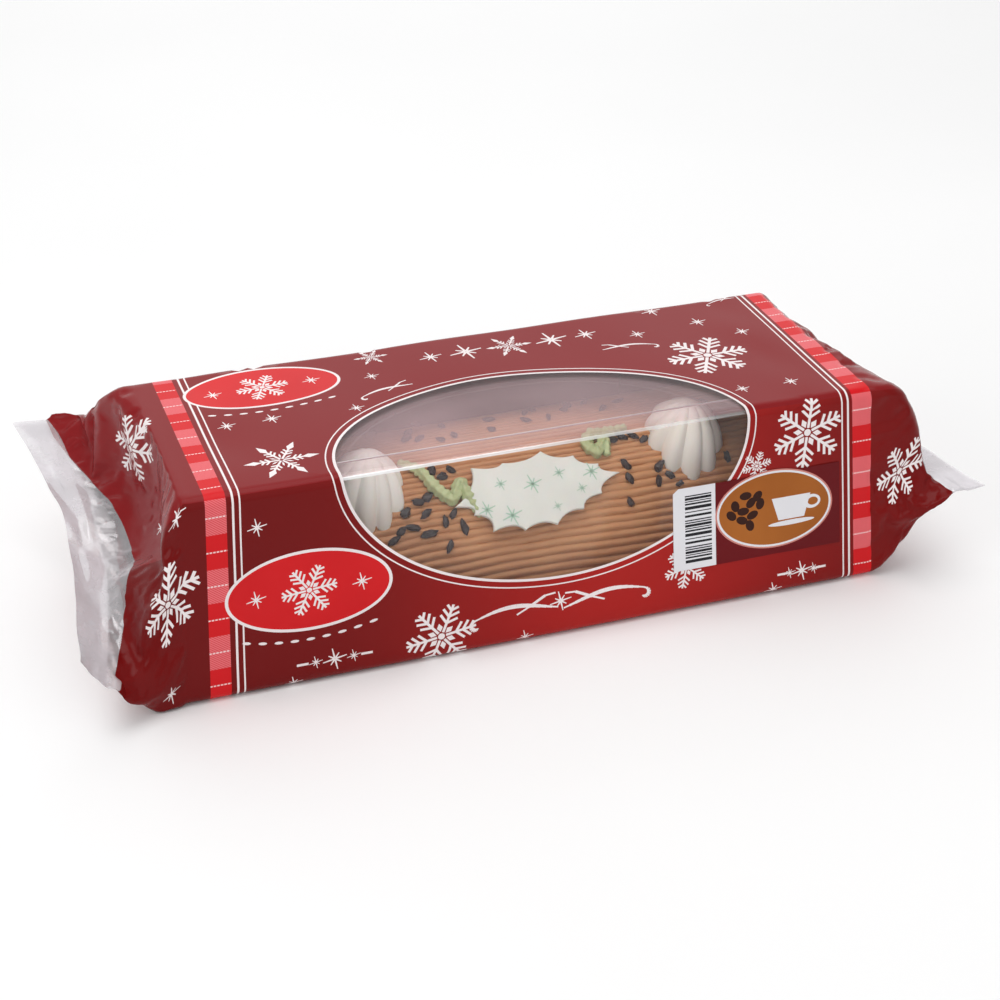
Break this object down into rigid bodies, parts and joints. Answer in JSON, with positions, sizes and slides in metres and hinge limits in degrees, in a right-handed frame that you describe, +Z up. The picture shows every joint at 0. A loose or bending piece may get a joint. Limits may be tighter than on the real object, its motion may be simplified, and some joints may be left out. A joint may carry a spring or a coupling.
{
  "type": "packaged yule log cake",
  "caption": "Coffee yule log cake with cream rosettes and a plaque, sealed in a printed film pack with an oval window.",
  "frame": {"origin": "middle of the pack's base, on the surface it rests on", "axes": "+X along the log towards the end with the label, +Y from the windowed front to the back, +Z up"},
  "size_m": [0.337, 0.166, 0.076],
  "materials": {
    "printed_film": "gloss",
    "clear_film": "gloss",
    "coffee_cream": "matte",
    "white_cream": "satin",
    "sugar_plaque": "matte",
    "green_cream": "satin",
    "label_paper": "satin"
  },
  "bodies": {
    "root": {"wrap": "printed_film", "window": "clear_film", "lid": "clear_film", "tray": "clear_film", "log": "coffee_cream", "rosette_left": "white_cream", "rosette_right": "white_cream", "plaque": "sugar_plaque", "piping_left": "green_cream", "piping_right": "green_cream", "label": "label_paper"}
  },
  "joints": []
}
